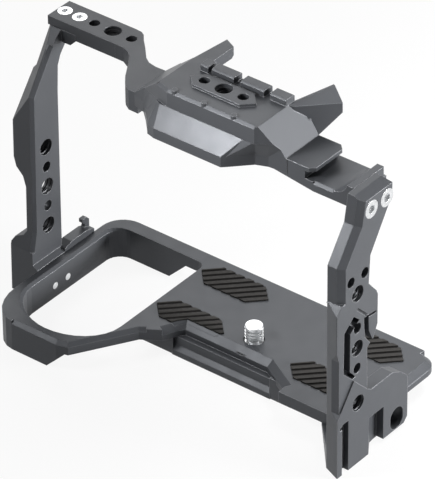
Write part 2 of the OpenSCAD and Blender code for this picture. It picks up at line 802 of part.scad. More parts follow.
module jog() {
    intersection() {
        slab(frame_h - jog_deep_t, frame_h)
            polygon(concat(jog_front_run, scaled(jog_back_shares, jog_l, jog_d, jog_x0, jog_back)));
        along_y(-far, far)
            polygon([[jog_x0 - jog_lap, frame_h], [jog_x0 - jog_lap, frame_h - left_bar_t],
                [jog_x0, frame_h - left_bar_t], [jog_x0 + jog_l * jog_slope_share, frame_h - jog_deep_t],
                [0, frame_h - jog_deep_t], [0, frame_h]]);
    }
}

module nose() {
    intersection() {
        union() {
            slab(nose_bottom_z, nose_knee_z + fit_gap)
                polygon(concat(nose_run, nose_rear));
            loft(concat(nose_run, nose_rear), concat(nose_top_run, nose_rear), nose_knee_z, frame_h + nose_top_rise);
        }
        along_y(-far, far)
            polygon(seat_profile);
    }
}

module seat_block() {
    difference() {
        intersection() {
            slab(frame_h + nose_top_rise - fit_gap, seat_z)
                polygon(concat(seat_front_run,
                    [[shelf_solid_x, nose_back], [seat_x1 + ramp_l - over, nose_back], [seat_x1, seat_y1],
                        [seat_x0, seat_y1],
                        [seat_x0 - seat_side_run, nose_back]]));
            along_y(-far, far)
                polygon(seat_profile);
        }
        run_waste([seat_front_run[1], seat_front_run[2], seat_front_run[3]], seat_z, seat_edge);
    }
}

module island() {
    slab(seat_z - over, seat_z + island_h)
        translate([-island_x, -island_y])
            polygon(scaled(island_shares, island_l, island_w));
}

module back_lip() {
    for (i = [0:len(lip_starts_shares) - 1])
        along_x(seat_x0 + seat_w * lip_starts_shares[i], seat_x0 + seat_w * lip_ends_shares[i])
            polygon([[seat_y1, seat_z - over], [seat_y1 - lip_d, seat_z - over],
                [seat_y1 - lip_d, seat_z + lip_h - lip_edge], [seat_y1 - lip_d + lip_edge, seat_z + lip_h],
                [seat_y1 - lip_edge, seat_z + lip_h], [seat_y1, seat_z + lip_h - lip_edge]]);
}

module front_tabs() {
    for (share = tab_shares)
        translate([seat_x0 + seat_w * share, seat_y0 + tab_r, seat_z - over])
            cylinder(h = tab_h + over, r = tab_r);
}

module left_prong() {
    intersection() {
        slab(frame_h, seat_z)
            polygon([[seat_x0, seat_y1 - over], [seat_x0 + left_prong_w, seat_y1 - over],
                [seat_x0 + left_prong_w, prong_y - left_prong_back],
                [seat_x0 + left_prong_w - left_prong_tip, prong_y]]);
        along_x(-far, far) prong_profile(left_prong_tip_t, left_prong_t);
    }
}

module right_prong() {
    difference() {
        intersection() {
            slab(seat_z - right_prong_t, seat_z)
                polygon([[seat_x1 - over, seat_y1 - lip_d], [seat_x1 + right_prong_root, seat_y1 - right_prong_start],
                    [seat_x1 + right_prong_out, prong_y - right_prong_back], [seat_x1 + right_prong_in, prong_y],
                    [seat_x1, seat_y1]]);
            along_x(-far, far) prong_profile(prong_tip_t, right_prong_t);
        }
        big_cut([seat_x1 + right_prong_land, seat_y1, seat_z], right_prong_turn, right_prong_tilt);
    }
}

module prong_profile(tip_t, root_t) {
    polygon([[seat_y1 - lip_d, seat_z], [seat_y1 - lip_d, seat_z - root_t],
        [prong_foot_y, seat_z - root_t], [prong_y, seat_z - tip_t], [prong_y, seat_z]]);
}

module shelf() {
    slab(frame_h + shelf_rise - shelf_t, frame_h + shelf_rise)
        polygon([[seat_x1 + ramp_l - over, -right_bar_front], [shelf_x - shelf_edge, -right_bar_front],
            [shelf_x, -right_bar_front + shelf_edge], [shelf_x, nose_back - shelf_edge],
            [shelf_x - shelf_edge, nose_back], [seat_x1 + ramp_l - over, nose_back]]);
    slab(right_bar_z - over, frame_h + shelf_rise - fit_gap)
        polygon([[seat_x1, -right_bar_front], [shelf_solid_x, -right_bar_front], [shelf_solid_x, nose_back],
            [seat_x1, nose_back]]);
}

module right_bar() {
    difference() {
        union() {
            along_y(-right_bar_front, right_bar_w - right_bar_front)
                polygon([[seat_x1 - over, right_bar_z], [seat_x1 - over, nose_bottom_z],
                    [shelf_x, right_bar_z - right_bar_t], [ports_x - fit_gap, right_bar_z - right_bar_t],
                    [ports_x - fit_gap, right_bar_z]]);
            translate([ports_x - fit_gap - rise_w, -right_bar_front, right_bar_z - over])
                cube([rise_w, right_bar_front + ridge_back, frame_h - right_bar_z + over]);
            translate([ports_x - fit_gap - tongue_t, -right_bar_front, frame_h - tongue_drop])
                cube([tongue_t, right_bar_front + ridge_back, tongue_drop]);
        }
        translate([ports_x - tongue_t - rise_l, 0, right_bar_z + rise_r])
            rotate([90, 0, 0])
                cylinder(h = 2 * far, r = rise_r, center = true);
        run_waste([[shelf_x, -right_bar_front], [ports_x - rise_w, -right_bar_front]], right_bar_z,
            right_bar_edge);
    }
}

module top_plate() {
    color("#55585d")
    difference() {
        union() {
            left_bar();
            jog();
            nose();
            seat_block();
            island();
            back_lip();
            front_tabs();
            left_prong();
            right_prong();
            shelf();
            right_bar();
        }
        along_y(-hump_front, far)
            polygon([[seat_x0 + hump_side, nose_bottom_z - over], [seat_x0 + hump_side, seat_z - 2 * hump_top],
                [seat_x0 + 2 * hump_side, seat_z - hump_top - island_h], [seat_x1 - 2 * hump_side, seat_z - hump_top - island_h],
                [seat_x1 - hump_side, seat_z - 2 * hump_top], [seat_x1 - hump_side, nose_bottom_z - over]]);
        for (i = [-1:1])
            bore_z(-island_x + i * hole_step, -seat_hole_y, frame_h, seat_z + island_h + over,
                i == 0 ? thread_bore_d : locator_d);
        for (i = [0:2])
            bore_z(grip_x + bar_hole_in + i * hole_step, bar_hole_y, frame_h - left_bar_t - over, frame_h + over,
                i == 1 ? thread_bore_d : locator_d);
        for (x = bar_screw_xs) {
            bore_z(x, bar_hole_y, frame_h - left_bar_t - over, frame_h + over, screw_d + 2 * fit_gap);
            translate([x, bar_hole_y, frame_h - countersink_h - fit_gap])
                cylinder(h = countersink_h + fit_gap, d1 = screw_d + 2 * fit_gap, d2 = bar_head_d + 2 * fit_gap);
        }
        for (y = side_screw_ys)
            bore_x(ports_out_x - side_screw_l - fit_gap, ports_x + over, y, side_screw_z, screw_d + 2 * fit_gap);
    }
}

// Ports-side upright

module ports_arm_profile() {
    polygon(concat(
        [[-ports_front_y, -foot_h]],
        scaled(ports_front_shares, side_plate_w, frame_h, -ports_front_y),
        scaled(ports_back_shares, side_plate_w, frame_h, -ports_front_y),
        [[-plate_front - slip_gap, 0], [-plate_front - slip_gap, -foot_h]]
    ));
}

module side_plate_profile() {
    polygon(concat(
        [[-side_front_y, -foot_h]],
        scaled(side_roof_shares, side_plate_w, frame_h, -side_front_y),
        [[side_back_y, side_toe_lift + side_toe_round - foot_h], [side_back_y - side_toe_round, side_toe_lift - foot_h],
            [-pocket_y1, side_toe_lift - foot_h], [-side_heel_y, -foot_h]]
    ));
}

module flange() {
    intersection() {
        along_y(-far, flange_w - flange_y0)
            polygon([[plate_in_x - flange_in, -plate_t - fit_gap],
                [plate_in_x - flange_in, -plate_t - fit_gap - flange_lip], [ports_x, -foot_h],
                [plate_in_x + over, -foot_h], [plate_in_x + over, -plate_t - fit_gap]]);
        slab(-foot_h, 0)
            polygon([[plate_in_x - flange_in, -plate_front], [ports_x, -ports_edge_y],
                [plate_in_x + over, -ports_edge_y], [plate_in_x + over, far], [plate_in_x - flange_in, far]]);
    }
}

module ports_upright() {
    color("#565a5f")
    difference() {
        union() {
            difference() {
                along_x(ports_x, ports_out_x) ports_arm_profile();
                translate([ports_out_x, 0, 0])
                    rotate([90, 0, 90])
                        run_waste(ports_edge_run, 0, ports_bevel);
                along_y(-far, far)
                    polygon([[ports_out_x - ports_top_run, frame_h], [ports_out_x, frame_h - ports_top_bevel],
                        [ports_out_x + over, frame_h - ports_top_bevel], [ports_out_x + over, frame_h + over],
                        [ports_out_x - ports_top_run, frame_h + over]]);
                translate([ports_x - over, -plate_front - slip_gap, -foot_h - over])
                    cube([plate_in_x - ports_x + over, far, foot_h + over + fit_gap]);
            }
            along_x(plate_in_x, plate_out_x) side_plate_profile();
            flange();
        }
        slab(-foot_h - over, frame_h * ports_wide_share)
            polygon([[ports_x - over, -far], [ports_x - over, -ports_edge_y], [ports_x, -ports_edge_y],
                [ports_out_x, -ports_edge_y - ports_lean], [plate_out_x + over, -side_front_y], [plate_out_x + over, -far]]);
        translate([ports_out_x - groove_h, 0, 0]) {
            along_x(0, groove_h + over)
                polygon(scaled(groove_left_shares, side_plate_w, frame_h, -ports_front_y));
            along_x(0, groove_h + over)
                polygon(scaled(groove_right_shares, side_plate_w, frame_h, -ports_front_y));
        }
        along_x(ports_out_x - scribe_h, ports_out_x + over)
            polygon(scaled(scribe_shares, side_plate_w, frame_h, -ports_front_y));
        for (z = [ports_hole_top, ports_hole_mid, ports_hole_low])
            bore_x(ports_x - over, plate_out_x + over, -ports_hole_y, z, thread_bore_d);
        for (z = [ports_hole_mid - hole_step, ports_hole_mid + hole_step])
            bore_x(ports_x - over, plate_out_x + over, -ports_hole_y, z, locator_d);
        for (side = [-1, 1])
            bore_x(ports_x - over, plate_out_x + over, -ports_hole_y + side * pair_gap / 2,
                ports_hole_top + pair_rise, locator_d);
        for (y = side_screw_ys) {
            bore_x(ports_x - over, plate_out_x + over, y, side_screw_z, screw_d + 2 * fit_gap);
            translate([ports_out_x - side_sink_h - fit_gap, y, side_screw_z])
                rotate([0, 90, 0])
                    cylinder(h = side_sink_h + fit_gap, d1 = screw_d + 2 * fit_gap, d2 = side_head_d + 2 * fit_gap);
        }
        slab(-foot_h - over, pocket_top_z)
            polygon([[plate_out_x + over, -pocket_y0], [plate_out_x, -pocket_y0],
                [plate_out_x - pocket_h, -pocket_knee_y], [plate_out_x - pocket_h, -pocket_y1],
                [plate_out_x + over, -pocket_y1]]);
        for (step = [-slot_run / 2, slot_run / 2])
            bore_x(plate_in_x - over, plate_out_x + over, slot_y, -slot_z + step, 2 * slot_r);
        translate([plate_in_x - over, slot_y - slot_r, -slot_z - slot_run / 2])
            cube([side_plate_t + 2 * over, 2 * slot_r, slot_run]);
        translate([plate_out_x - rail_h, -rail_y0, -foot_h - over])
            cube([rail_h + over, rail_w, foot_h + over + rail_top_z]);
        translate([plate_out_x - rail_h, -rail_y0 - rail_notch, rail_notch_z])
            cube([rail_h + over, rail_notch + over, rail_notch]);
        flange_screw_places() {
            bore_z(0, 0, -plate_t - flange_h - 2 * over, -plate_t + over, screw_d + 2 * fit_gap);
            bore_z(0, 0, -plate_t - flange_h - 2 * over, flange_head_z + flange_head_h + fit_gap,
                flange_head_d + 2 * fit_gap);
        }
    }
}

// Screws: each is turned so that its head is on top at the origin

module hex_socket(d, h) {
    translate([0, 0, -h])
        cylinder(h = h + over, d = d, $fn = 6);
}

module countersunk_screw(head_d, head_h, length) {
    color("#dcdde0")
    difference() {
        union() {
            translate([0, 0, -head_h])
                cylinder(h = head_h, d1 = screw_d, d2 = head_d);
            translate([0, 0, -length])
                cylinder(h = length, d = screw_d);
        }
        hex_socket(head_d * hex_share, head_h * hex_h_share);
    }
}

module cap_screw(head_d, head_h, length) {
    color("#dcdde0")
    difference() {
        union() {
            translate([0, 0, -head_h])
                cylinder(h = head_h, d = head_d);
            translate([0, 0, -length])
                cylinder(h = length, d = screw_d);
        }
        hex_socket(head_d * hex_share, head_h * hex_h_share);
    }
}

module bar_screws() {
    for (x = bar_screw_xs)
        translate([x, bar_hole_y, frame_h])
            countersunk_screw(bar_head_d, countersink_h, bar_screw_l);
}

module side_screws() {
    for (y = side_screw_ys)
        translate([ports_out_x, y, side_screw_z])
            rotate([0, 90, 0])
                countersunk_screw(side_head_d, side_sink_h, side_screw_l);
}

module loop_screws() {
    for (y = [-loop_screw_front, -loop_screw_back])
        translate([loop_head_x, y, -loop_screw_z])
            rotate([0, -90, 0])
                cap_screw(loop_head_d, loop_head_h, loop_open_x - loop_head_x);
}

module flange_screws() {
    flange_screw_places()
        translate([0, 0, flange_head_z])
            rotate([180, 0, 0])
                cap_screw(flange_head_d, flange_head_h, -plate_t + flange_bite - fit_gap - flange_head_z);
}

base_plate();
top_plate();
grip_upright();
ports_upright();
camera_screw();
slip_washer();
retaining_ring();
bar_screws();
side_screws();
loop_screws();
flange_screws();
pad_back_left();
pad_front_left();
pad_back_right();
pad_front_right();
foot_pads_front();
foot_pads_back();
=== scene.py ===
"""Looks of a camera cage: anodised plates, steel screws with cut threads and ribbed rubber pads."""

from __future__ import annotations

import json
import logging
import math
from dataclasses import dataclass, field
from enum import Enum

import bmesh
import bpy
from mathutils import Matrix, Vector

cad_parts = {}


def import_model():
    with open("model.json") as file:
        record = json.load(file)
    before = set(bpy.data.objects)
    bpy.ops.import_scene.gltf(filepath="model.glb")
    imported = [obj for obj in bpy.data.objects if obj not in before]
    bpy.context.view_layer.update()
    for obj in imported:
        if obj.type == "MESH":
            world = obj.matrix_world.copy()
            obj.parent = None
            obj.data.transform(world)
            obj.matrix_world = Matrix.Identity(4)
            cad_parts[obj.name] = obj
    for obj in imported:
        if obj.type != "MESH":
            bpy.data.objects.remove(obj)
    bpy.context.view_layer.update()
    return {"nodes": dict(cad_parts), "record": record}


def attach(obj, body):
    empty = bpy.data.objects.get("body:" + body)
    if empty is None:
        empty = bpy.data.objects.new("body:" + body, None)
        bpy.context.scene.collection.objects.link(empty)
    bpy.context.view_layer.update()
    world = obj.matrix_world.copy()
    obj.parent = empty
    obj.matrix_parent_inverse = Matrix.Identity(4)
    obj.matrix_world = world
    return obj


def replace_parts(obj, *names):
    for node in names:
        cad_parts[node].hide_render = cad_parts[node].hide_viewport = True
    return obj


LOG = logging.getLogger("camera_cage")
MM = 0.001
BODY_CAGE = "cage"
BODY_SCREW = "camera_screw"
SMOOTH_UP_TO = math.radians(35)
Z_AXIS = (0, 0, 1)
WHITE = (1, 1, 1, 1)

Pair = tuple[float, float]
Triple = tuple[float, float, float]
Socket = bpy.types.NodeSocket
Material = bpy.types.Material
Mesh = bmesh.types.BMesh


class Look(Enum):
    """The finishes that the pieces are dressed in."""

    ANODISED = "anodised"
    STEEL = "steel"
    STUD = "stud"
    LIT_STEEL = "zinc"
    SPRING = "spring"
    RUBBER = "rubber"
    RIM = "rim"
    THREAD = "thread"


def seen_rays(tree: bpy.types.NodeTree) -> Socket:
    """Finds the rays that show the background: the camera's own, and those that metal and glass send on.

    Args:
        tree: the node tree of a material or of the world.

    Returns:
        A socket that is 1 for camera, glossy and transmission rays and 0 for all others.
    """
    rays = tree.nodes.new("ShaderNodeLightPath")
    seen = rays.outputs["Is Camera Ray"]
    for name in ("Is Glossy Ray", "Is Transmission Ray"):
        most = tree.nodes.new("ShaderNodeMath")
        most.operation = "MAXIMUM"
        tree.links.new(seen, most.inputs[0])
        tree.links.new(rays.outputs[name], most.inputs[1])
        seen = most.outputs[0]
    return seen


class NodeSketch:
    """A short way to lay out the nodes of one material."""

    mix_share = 0
    mix_first = 6
    mix_second = 7
    mix_colour = 2
    edge_starts = 0.98
    edge_full = 0.8

    def __init__(self, name: str) -> None:
        """Starts an empty material with its output node.

        Args:
            name: the material's name.
        """
        self.material = bpy.data.materials.new(name)
        self.material.use_nodes = True
        self.tree = self.material.node_tree
        self.tree.nodes.clear()
        self.output = self.tree.nodes.new("ShaderNodeOutputMaterial")

    def add(self, kind: str, **settings: object) -> bpy.types.Node:
        """Adds a node.

        Args:
            kind: the node's type without its ShaderNode prefix.
            settings: properties of the node.

        Returns:
            The new node.
        """
        node = self.tree.nodes.new("ShaderNode" + kind)
        for key, value in settings.items():
            setattr(node, key, value)
        return node

    def link(self, source: Socket, target: Socket) -> None:
        """Joins an output to an input."""
        self.tree.links.new(source, target)

    def noise(self, scale: float, detail: float, stretch: Triple = (1, 1, 1)) -> Socket:
        """A noise on the object's own coordinates.

        Args:
            scale: waves per metre.
            detail: octaves.
            stretch: scale along each axis.

        Returns:
            The noise's value socket.
        """
        place = self.add("TexCoord")
        turn = self.add("Mapping")
        turn.inputs["Scale"].default_value = stretch
        grain = self.add("TexNoise")
        grain.inputs["Scale"].default_value = scale
        grain.inputs["Detail"].default_value = detail
        self.link(place.outputs["Object"], turn.inputs["Vector"])
        self.link(turn.outputs["Vector"], grain.inputs["Vector"])
        return grain.outputs["Fac"]

    def spread(self, value: Socket, low: float, high: float, start: float = 0.3, end: float = 0.7) -> Socket:
        """Maps a value to a range.

        Args:
            value: the socket to map.
            low: the result at start.
            high: the result at end.
            start: the value that gives low.
            end: the value that gives high.

        Returns:
            The mapped value's socket.
        """
        node = self.add("MapRange")
        node.inputs["From Min"].default_value = start
        node.inputs["From Max"].default_value = end
        node.inputs["To Min"].default_value = low
        node.inputs["To Max"].default_value = high
        self.link(value, node.inputs["Value"])
        return node.outputs["Result"]

    def blend(self, share: Socket, first: Socket | Triple, second: Triple) -> Socket:
        """Blends two colours.

        Args:
            share: how much of the second colour shows.
            first: the first colour, or the socket that gives it.
            second: the second colour.

        Returns:
            The blended colour's socket.
        """
        node = self.add("Mix", data_type="RGBA")
        self.link(share, node.inputs[self.mix_share])
        if isinstance(first, tuple):
            node.inputs[self.mix_first].default_value = (*first, 1)
        else:
            self.link(first, node.inputs[self.mix_first])
        node.inputs[self.mix_second].default_value = (*second, 1)
        return node.outputs[self.mix_colour]

    def rounded(self, radius: float) -> tuple[Socket, Socket]:
        """A normal rounded over the edges, and a mask of where it turns.

        Args:
            radius: the rounding in metres.

        Returns:
            The normal's socket and the mask's socket, which is 1 on an edge.
        """
        edge = self.add("Bevel", samples=6)
        edge.inputs["Radius"].default_value = radius
        face = self.add("NewGeometry")
        dot = self.add("VectorMath", operation="DOT_PRODUCT")
        self.link(edge.outputs["Normal"], dot.inputs[0])
        self.link(face.outputs["Normal"], dot.inputs[1])
        mask = self.spread(dot.outputs["Value"], 0, 1, self.edge_starts, self.edge_full)
        return edge.outputs["Normal"], mask

    def bump(self, height: Socket, strength: float, distance: float, normal: Socket) -> Socket:
        """A bumped normal.

        Args:
            height: the height's socket.
            strength: 0 to 1.
            distance: the height in metres.
            normal: the normal to start from.

        Returns:
            The normal's socket.
        """
        node = self.add("Bump")
        node.inputs["Strength"].default_value = strength
        node.inputs["Distance"].default_value = distance
        self.link(height, node.inputs["Height"])
        self.link(normal, node.inputs["Normal"])
        return node.outputs["Normal"]

    def surface(self, shader: bpy.types.Node, colour: Socket, roughness: Socket, normal: Socket) -> Material:
        """Joins colour, roughness and normal to a shader and ends the material.

        Args:
            shader: the principled shader.
            colour: the base colour's socket.
            roughness: the roughness's socket.
            normal: the normal's socket.

        Returns:
            The material.
        """
        self.link(colour, shader.inputs["Base Color"])
        self.link(roughness, shader.inputs["Roughness"])
        self.link(normal, shader.inputs["Normal"])
        return self.finish(shader)

    def finish(self, shader: bpy.types.Node) -> Material:
        """Joins the shader to the output and returns the material."""
        self.link(shader.outputs[0], self.output.inputs["Surface"])
        return self.material


@dataclass(frozen=True)
class AnodisedFinish:
    """Fine-blasted aluminium under a dark grey oxide coat, with a painted highlight along its edges."""

    name: str = "anodised_aluminium"
    colour: Triple = (0.058, 0.061, 0.067)
    shade: Triple = (0.052, 0.055, 0.061)
    # painted highlight: the paler colour laid along the edges through the rounded normal's mask
    edge: Triple = (0.17, 0.174, 0.184)
    cloud: Pair = (45.0, 3.0)
    smear: Pair = (160.0, 4.0)
    rough: Pair = (0.36, 0.44)
    metal: float = 0.3
    gloss: float = 0.2
    edge_round: float = 0.4 * MM
    grain: Pair = (7000.0, 3.0)
    grain_strength: float = 0.1
    grain_depth: float = 0.02 * MM

    def material(self) -> Material:
        """Builds the material.

        Returns:
            The material.
        """
        sketch = NodeSketch(self.name)
        shader = sketch.add("BsdfPrincipled")
        shader.inputs["Metallic"].default_value = self.metal
        shader.inputs["Specular IOR Level"].default_value = self.gloss
        normal, mask = sketch.rounded(self.edge_round)
        body = sketch.blend(sketch.spread(sketch.noise(*self.cloud), 0, 1), self.colour, self.shade)
        rough = sketch.spread(sketch.noise(*self.smear), *self.rough)
        grain = sketch.bump(sketch.noise(*self.grain), self.grain_strength, self.grain_depth, normal)
        # the edge mask lays the painted highlight colour over the body colour
        return sketch.surface(shader, sketch.blend(mask, body, self.edge), rough, grain)


@dataclass(frozen=True)
class SteelFinish:
    """Plated steel with fine marks that lie closer together along the screw's axis, and a painted highlight
    along its edges.
    """

    name: str = "plated_steel"
    colour: Triple = (0.66, 0.67, 0.68)
    # painted highlight: the paler colour laid along the edges through the rounded normal's mask
    edge: Triple = (0.86, 0.87, 0.88)
    dull_share: float = 0.82
    stain: Pair = (900.0, 3.0)
    smear: Pair = (1500.0, 3.0)
    roughness: float = 0.26
    smoother: float = 0.03
    rougher: float = 0.04
    metal: float = 1.0
    edge_round: float = 0.12 * MM
    marks: tuple[float, float, Triple] = (2600.0, 2.0, (1, 1, 3))
    marks_strength: float = 0.03
    marks_depth: float = 0.01 * MM

    def material(self) -> Material:
        """Builds the material.

        Returns:
            The material.
        """
        sketch = NodeSketch(self.name)
        shader = sketch.add("BsdfPrincipled")
        shader.inputs["Metallic"].default_value = self.metal
        normal, mask = sketch.rounded(self.edge_round)
        dull = tuple(self.dull_share * channel for channel in self.colour)
        body = sketch.blend(sketch.spread(sketch.noise(*self.stain), 0, 1), self.colour, dull)
        rough = sketch.spread(
            sketch.noise(*self.smear), self.roughness - self.smoother, self.roughness + self.rougher)
        marks = sketch.bump(sketch.noise(*self.marks), self.marks_strength, self.marks_depth, normal)
        # the edge mask lays the painted highlight colour over the body colour
        return sketch.surface(shader, sketch.blend(mask, body, self.edge), rough, marks)


@dataclass(frozen=True)
class RubberFinish:
    """Matt black rubber with a painted highlight on its rib tops; rib_foot and rib_top are heights over the
    plate.
    """

    name: str = "ribbed_rubber"
    colour: Triple = (0.008, 0.0077, 0.0074)
    dust: Triple = (0.012, 0.0112, 0.0105)
    painted_top_highlight: Triple = (0.034, 0.0325, 0.031)
    specks: Pair = (700.0, 4.0)
    speck_range: Pair = (0.45, 0.75)
    smear: Pair = (1200.0, 3.0)
    rough: Pair = (0.55, 0.8)
    gloss: float = 0.12
    edge_round: float = 0.12 * MM
    rib_foot: float = 0.2 * MM
    rib_top: float = 0.42 * MM
    grain: Pair = (5200.0, 3.0)
    grain_strength: float = 0.35
    grain_depth: float = 0.04 * MM

    def material(self) -> Material:
        """Builds the material.

        Returns:
            The material.
        """
        sketch = NodeSketch(self.name)
        shader = sketch.add("BsdfPrincipled")
        shader.inputs["Specular IOR Level"].default_value = self.gloss
        normal, _ = sketch.rounded(self.edge_round)
        specks = sketch.spread(sketch.noise(*self.specks), 0, 1, *self.speck_range)
        body = sketch.blend(specks, self.colour, self.dust)
        split = sketch.add("SeparateXYZ")
        sketch.link(sketch.add("TexCoord").outputs["Object"], split.inputs[0])
        # painted highlight: the colour turns paler from rib_foot up to rib_top, so the rib tops show lit
        tops = sketch.spread(split.outputs["Z"], 0, 1, self.rib_foot, self.rib_top)
        rough = sketch.spread(sketch.noise(*self.smear), *self.rough)
        grain = sketch.bump(sketch.noise(*self.grain), self.grain_strength, self.grain_depth, normal)
        return sketch.surface(shader, sketch.blend(tops, body, self.painted_top_highlight), rough, grain)


@dataclass(frozen=True)
class FloorFinish:
    """A pale floor that keeps a soft shadow and shows white to the camera and in reflections."""

    name: str = "pale_floor"
    colour: Triple = (0.9, 0.9, 0.905)
    bounce: Triple = (0.7, 0.7, 0.705)
    lift: float = 0.9

    def material(self) -> Material:
        """Builds the material.

        Returns:
            The material.
        """
        sketch = NodeSketch(self.name)
        matt = sketch.add("BsdfDiffuse")
        glow = sketch.add("Emission")
        glow.inputs["Color"].default_value = WHITE
        seen = seen_rays(sketch.tree)
        sketch.link(sketch.blend(seen, self.bounce, self.colour), matt.inputs["Color"])
        share = sketch.add("Math", operation="MULTIPLY")
        share.inputs[1].default_value = self.lift
        sketch.link(seen, share.inputs[0])
        mix = sketch.add("MixShader")
        sketch.link(share.outputs[0], mix.inputs[0])
        sketch.link(matt.outputs[0], mix.inputs[1])
        sketch.link(glow.outputs[0], mix.inputs[2])
        return sketch.finish(mix)


def new_piece(name: str, mesh: Mesh, material: Material, smooth: bool = True) -> bpy.types.Object:
    """Makes an object at the origin from a mesh whose places are final.

    Args:
        name: the piece's name.
        mesh: its mesh, which is freed.
        material: its material.
        smooth: whether its faces shade smoothly over shallow edges.

    Returns:
        The new object.
    """
    data = bpy.data.meshes.new(name)
    mesh.to_mesh(data)
    mesh.free()
    data.materials.append(material)
    if smooth:
        data.shade_smooth()
        data.set_sharp_from_angle(angle=SMOOTH_UP_TO)
    piece = bpy.data.objects.new(name, data)
    bpy.context.scene.collection.objects.link(piece)
    LOG.info("piece %s: %d faces", name, len(data.polygons))
    return piece


def pour(part: Mesh, whole: Mesh) -> None:
    """Moves a part's mesh into the whole.

    Args:
        part: the mesh to move, which is freed.
        whole: where it goes.
    """
    holder = bpy.data.meshes.new("part")
    part.to_mesh(holder)
    part.free()
    whole.from_mesh(holder)
    bpy.data.meshes.remove(holder)


@dataclass
class ThreadCutter:
    """Lays a helical ridge, as on a screw or in a threaded hole; the shares are parts of the pitch."""

    pitch: float = 1.27 * MM
    foot_share: float = 0.27
    crest_share: float = 0.14
    steps_a_turn: int = 48
    least_steps: int = 8

    def ridge(self, mesh: Mesh, root: float, crest: float, start: float, length: float) -> None:
        """Adds a closed ridge that winds around Z.

        Args:
            mesh: where it goes.
            root: radius of its foot.
            crest: radius of its crest.
            start: the height where it starts.
            length: how far it climbs.
        """
        half, flat = self.foot_share * self.pitch, self.crest_share * self.pitch
        outline = [(root, -half), (crest, -flat), (crest, flat), (root, half)]
        first = mesh.faces.new([mesh.verts.new((radius, 0, start + z)) for radius, z in outline])
        turns = length / self.pitch
        steps = max(self.least_steps, round(turns * self.steps_a_turn))
        bmesh.ops.spin(
            mesh, geom=[first, *first.verts, *first.edges], cent=(0, 0, 0), axis=Z_AXIS,
            dvec=(0, 0, length / steps), angle=math.tau * turns, steps=steps, use_duplicate=False,
        )
        bmesh.ops.recalc_face_normals(mesh, faces=mesh.faces[:])


@dataclass
class CameraScrew:
    """The captive screw that holds the camera: head with a round pit, neck and cut thread.

    The neck_ heights are depths under the plate's top, the collar_ and thread_stop ones depths under the tip.
    """

    radius: float = 3.175 * MM
    root: float = 2.35 * MM
    head_z: float = -5.35 * MM
    head_h: float = 2.6 * MM
    head_radius: float = 6.9 * MM
    head_soft: float = 0.25 * MM
    pit_radius: float = 0.8 * MM
    pit_h: float = 1.2 * MM
    neck_low: float = 0.4 * MM
    neck_high: float = 0.2 * MM
    tip_z: float = 5.9 * MM
    collar_foot: float = 0.7 * MM
    collar_low: float = 0.5 * MM
    collar_high: float = 0.2 * MM
    collar_in: float = 0.1 * MM
    end_in: float = 0.3 * MM
    chamfer: float = 0.45 * MM
    thread_sink: float = 0.1 * MM
    thread_start: float = 0.25 * MM
    thread_stop: float = 0.75 * MM
    turn_steps: int = 64
    merge_under: float = 1e-6
    cutter: ThreadCutter = field(default_factory=ThreadCutter)

    def outline(self) -> list[Pair]:
        """The screw's outline without its thread.

        Returns:
            Radius and height of each corner, from the head's pit to the tip.
        """
        low, top, tip = self.head_z, self.head_z + self.head_h, self.tip_z
        head, soft, collar = self.head_radius, self.head_soft, self.radius - self.collar_in
        return [
            (0, low + self.pit_h), (self.pit_radius, low + self.pit_h), (self.pit_radius, low),
            (head - soft, low), (head, low + soft), (head, top - soft), (head - soft, top),
            (self.radius, top), (self.radius, -self.neck_low), (self.root, -self.neck_high),
            (self.root, tip - self.collar_foot), (collar, tip - self.collar_low),
            (collar, tip - self.collar_high), (self.radius - self.end_in, tip), (0, tip),
        ]

    def turned(self, mesh: Mesh) -> None:
        """Turns the outline around the screw's axis.

        Args:
            mesh: where it goes.
        """
        corners = [mesh.verts.new((radius, 0, z)) for radius, z in self.outline()]
        edges = [mesh.edges.new(pair) for pair in zip(corners, corners[1:])]
        bmesh.ops.spin(mesh, geom=[*corners, *edges], cent=(0, 0, 0), axis=Z_AXIS, angle=math.tau,
                       steps=self.turn_steps, use_merge=True)
        bmesh.ops.remove_doubles(mesh, verts=mesh.verts[:], dist=self.merge_under)

    def thread(self) -> Mesh:
        """Winds the thread and cuts its last turn to the tip's chamfer.

        Returns:
            The thread's mesh.
        """
        mesh = bmesh.new()
        self.cutter.ridge(mesh, self.root - self.thread_sink, self.radius, self.thread_start,
                          self.tip_z - self.thread_stop)
        for corner in mesh.verts:
            reach = math.hypot(corner.co.x, corner.co.y)
            most = self.radius - max(0.0, corner.co.z - (self.tip_z - self.chamfer))
            if reach > most:
                corner.co.x *= most / reach
                corner.co.y *= most / reach
            corner.co.z = min(corner.co.z, self.tip_z)
        return mesh

    def build(self, material: Material) -> None:
        """Builds the screw.

        Args:
            material: its finish.
        """
        mesh = bmesh.new()
        self.turned(mesh)
        pour(self.thread(), mesh)
        bmesh.ops.recalc_face_normals(mesh, faces=mesh.faces[:])
        piece = new_piece("camera_screw_cut", mesh, material)
        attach(piece, BODY_SCREW)
        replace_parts(piece, "camera_screw")


